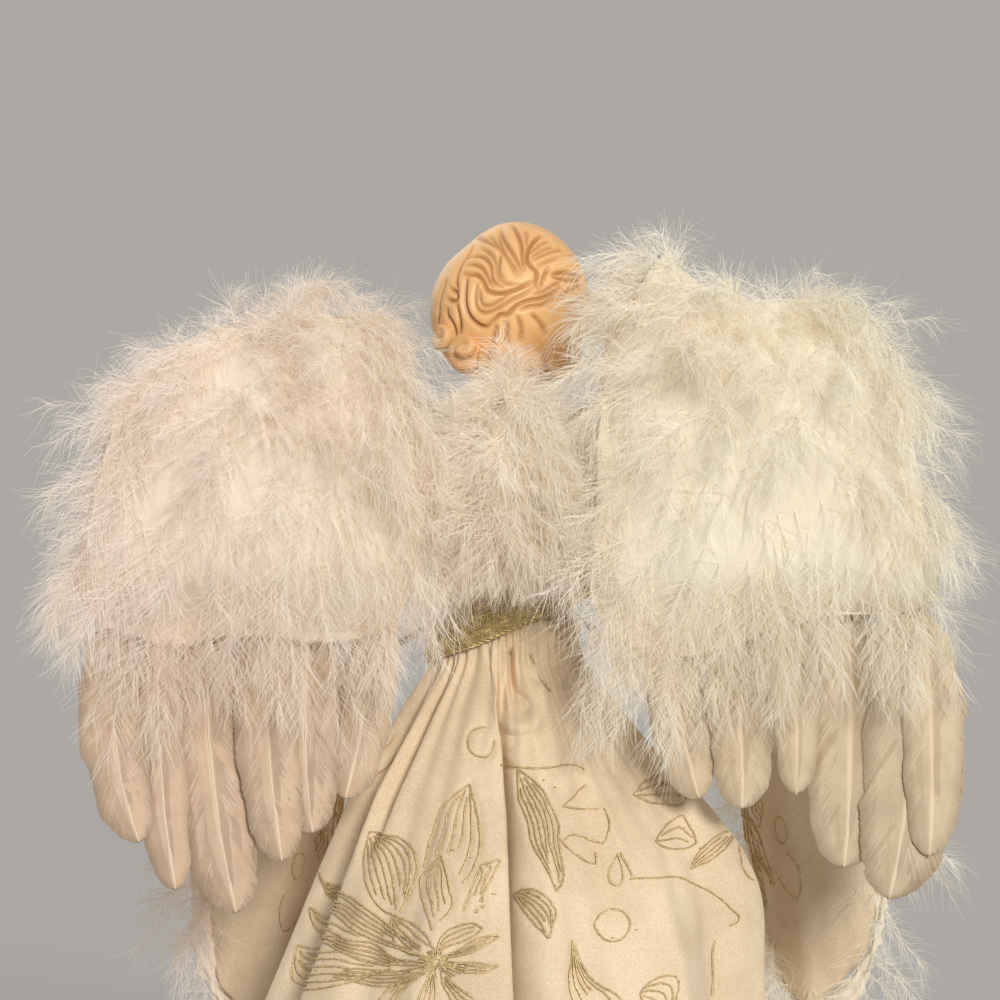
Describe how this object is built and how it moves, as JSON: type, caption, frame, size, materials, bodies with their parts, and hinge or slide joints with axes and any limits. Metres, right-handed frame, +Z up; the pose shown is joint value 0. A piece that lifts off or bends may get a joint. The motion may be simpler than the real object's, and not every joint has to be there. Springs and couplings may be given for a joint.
{
  "type": "angel tree topper",
  "caption": "Angel tree topper: velvet gown over a hollow cone that slips on a tree's tip, moulded head and hands, bell sleeves with down cuffs, hinged feather wings.",
  "frame": {"origin": "on the surface that the foot ring stands on, under the middle of the cone", "axes": "+Z up, the angel looks along -Y and its back is towards +Y, its left hand is on +X"},
  "size_m": [0.2136, 0.1817, 0.3051],
  "materials": {
    "ivory_card": "matte",
    "ivory_plastic": "satin",
    "flesh_resin": "satin",
    "cream_velvet": "matte",
    "ivory_net": "matte",
    "gold_ribbon": "satin",
    "white_down": "matte",
    "white_feather": "satin",
    "white_felt": "matte",
    "steel_wire": "satin"
  },
  "bodies": {
    "stand": {"foot_ring": "ivory_plastic", "tree_cone": "ivory_card", "torso": "ivory_plastic", "bodice": "cream_velvet", "petticoat": "ivory_net", "skirt": "cream_velvet", "waist_ribbon": "gold_ribbon", "collar_down": "white_down", "wing_bracket": "ivory_plastic", "back_down_pad": "white_down"},
    "head_body": {"head": "flesh_resin"},
    "left_arm": {"left_arm_wire": "steel_wire", "left_forearm": "flesh_resin", "left_sleeve": "cream_velvet", "left_cuff_down": "white_down"},
    "right_arm": {"right_arm_wire": "steel_wire", "right_forearm": "flesh_resin", "right_sleeve": "cream_velvet", "right_cuff_down": "white_down"},
    "left_wing": {"left_wing_wire": "steel_wire", "left_wing_panel": "white_felt", "left_wing_down_back": "white_down", "left_wing_down_front": "white_down", "left_feather_1": "white_feather", "left_feather_2": "white_feather", "left_feather_3": "white_feather", "left_feather_4": "white_feather", "left_feather_5": "white_feather", "left_feather_6": "white_feather"},
    "right_wing": {"right_wing_wire": "steel_wire", "right_wing_panel": "white_felt", "right_wing_down_back": "white_down", "right_wing_down_front": "white_down", "right_feather_1": "white_feather", "right_feather_2": "white_feather", "right_feather_3": "white_feather", "right_feather_4": "white_feather", "right_feather_5": "white_feather", "right_feather_6": "white_feather"}
  },
  "joints": [
    {"name": "head_turn", "type": "hinge", "parent": "stand", "child": "head_body", "pos_m": [0, 0, 0.26], "axis": [0, 0, 1], "range_deg": [-35, 35]},
    {"name": "left_arm_lift", "type": "hinge", "parent": "stand", "child": "left_arm", "pos_m": [0, 0, 0.2474], "axis": [-1, 0, 0], "range_deg": [0, 45]},
    {"name": "right_arm_lift", "type": "hinge", "parent": "stand", "child": "right_arm", "pos_m": [0, 0, 0.2474], "axis": [-1, 0, 0], "range_deg": [0, 45]},
    {"name": "left_wing_fold", "type": "hinge", "parent": "stand", "child": "left_wing", "pos_m": [0.011, 0.0208, 0.2372], "axis": [0, 0, 1], "range_deg": [-6, 14]},
    {"name": "right_wing_fold", "type": "hinge", "parent": "stand", "child": "right_wing", "pos_m": [-0.011, 0.0208, 0.2372], "axis": [0, 0, -1], "range_deg": [-6, 14]}
  ]
}
